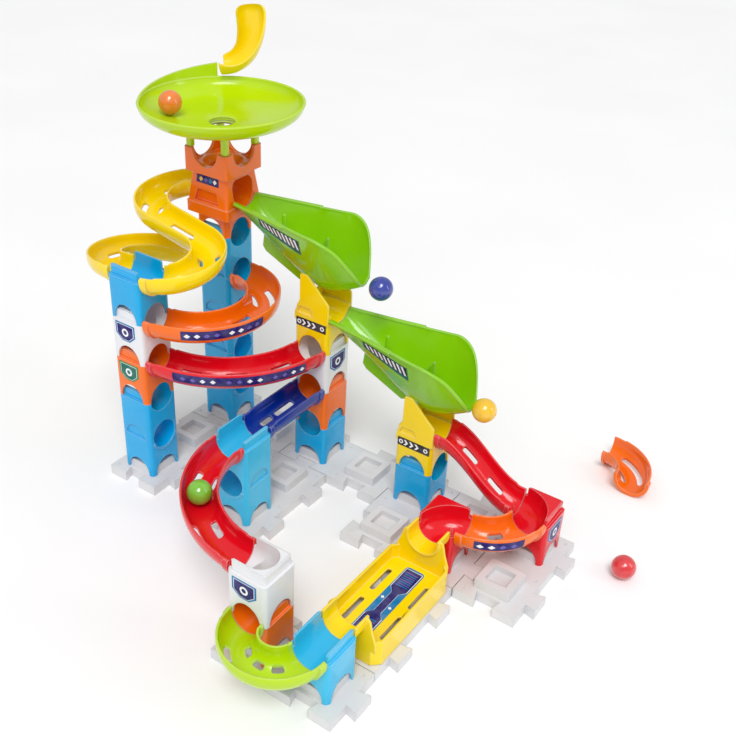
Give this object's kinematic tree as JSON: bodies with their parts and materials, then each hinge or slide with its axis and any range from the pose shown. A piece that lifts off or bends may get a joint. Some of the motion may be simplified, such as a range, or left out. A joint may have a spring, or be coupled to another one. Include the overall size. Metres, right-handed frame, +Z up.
{
  "type": "marble run",
  "caption": "Toy marble run: stacked block towers on interlocking tiles, half-pipe tracks, swirl funnel, tipping ramps, collecting tray and loose marbles.",
  "frame": {"origin": "on the floor, at the centre of the footprint of the whole layout, loose pieces included", "axes": "+X along the row of towers from the tall tower towards the ramps' far end, +Y towards the back row, +Z up"},
  "size_m": [0.5672, 0.5248, 0.4331],
  "materials": {
    "sky": "opaque injection-moulded ABS, glossy",
    "pale_blue": "opaque injection-moulded ABS, glossy",
    "orange": "opaque injection-moulded ABS, glossy",
    "white": "opaque injection-moulded ABS, glossy",
    "yellow": "opaque injection-moulded ABS, glossy",
    "red": "opaque injection-moulded ABS, glossy",
    "navy": "opaque injection-moulded ABS, glossy",
    "green": "opaque injection-moulded ABS, glossy",
    "lime": "opaque injection-moulded ABS, glossy",
    "tile_white": "opaque white moulded ABS, satin",
    "marble_orange": "glossy opaque ball",
    "marble_blue": "glossy opaque ball",
    "marble_yellow": "glossy opaque ball",
    "marble_green": "glossy opaque ball",
    "marble_red": "glossy opaque ball"
  },
  "bodies": {
    "root": {"back_curve_track": "yellow", "base_tile_1": "tile_white", "base_tile_2": "tile_white", "base_tile_3": "tile_white", "base_tile_4": "tile_white", "base_tile_5": "tile_white", "base_tile_6": "tile_white", "base_tile_7": "tile_white", "base_tile_8": "tile_white", "base_tile_9": "tile_white", "collecting_tray": "yellow", "double_bend_track": "yellow", "entry_chute": "yellow", "front_channel_block": "pale_blue", "front_double_block": "pale_blue", "front_drop_block": "white", "front_turn_block": "orange", "inner_curve_block": "red", "left_double_block": "sky", "left_drop_block": "white", "left_top_block": "sky", "left_turn_block": "orange", "long_curve_track": "red", "middle_block": "sky", "middle_catcher": "yellow", "middle_drop_block": "white", "middle_turn_block": "orange", "outer_curve_block": "red", "quarter_curve_track": "red", "right_block": "sky", "right_catcher": "yellow", "short_curve_track": "orange", "side_curve_track": "orange", "slope_track": "red", "splitter": "orange", "splitter_crown": "orange", "straight_track": "navy", "swirl_funnel": "lime", "tall_lower_double_block": "sky", "tall_top_block": "sky", "tall_upper_double_block": "sky", "u_turn_track": "lime"},
    "upper_ramp": {"upper_tipping_ramp": "green"},
    "lower_ramp": {"lower_tipping_ramp": "green"},
    "orange_ball": {"orange_marble": "marble_orange"},
    "blue_ball": {"blue_marble": "marble_blue"},
    "yellow_ball": {"yellow_marble": "marble_yellow"},
    "green_ball": {"green_marble": "marble_green"},
    "red_ball": {"red_marble": "marble_red"},
    "spare_curve": {"spare_curve_track": "orange"}
  },
  "joints": [
    {"name": "upper_ramp_tilt", "type": "hinge", "parent": "root", "child": "upper_ramp", "pos_m": [-0.15631, 0.05608, 0.2725], "axis": [0, -1, 0], "range_deg": [0, 12]},
    {"name": "lower_ramp_tilt", "type": "hinge", "parent": "root", "child": "lower_ramp", "pos_m": [-0.03831, 0.05608, 0.1835], "axis": [0, -1, 0], "range_deg": [0, 12]},
    {"name": "orange_marble_swirl", "type": "hinge", "parent": "root", "child": "orange_ball", "pos_m": [-0.18391, 0.05608, 0.36], "axis": [0, 0, 1], "continuous": true},
    {"name": "blue_marble_flight", "type": "slide", "parent": "upper_ramp", "child": "blue_ball", "axis": [0.8, 0, -0.6], "range_m": [0, 0.03]},
    {"name": "yellow_marble_flight", "type": "slide", "parent": "lower_ramp", "child": "yellow_ball", "axis": [0.8, 0, -0.6], "range_m": [0, 0.03]},
    {"name": "green_marble_roll", "type": "hinge", "parent": "root", "child": "green_ball", "pos_m": [0.04609, -0.08892, 0.0986], "axis": [0, 0, 1], "range_deg": [-30, 40]},
    {"name": "red_marble_roll", "type": "slide", "parent": "root", "child": "red_ball", "axis": [1, 0, 0], "range_m": [-0.02, 0.08]},
    {"name": "spare_curve_push", "type": "slide", "parent": "root", "child": "spare_curve", "axis": [1, 0, 0], "range_m": [-0.02, 0.06]}
  ]
}
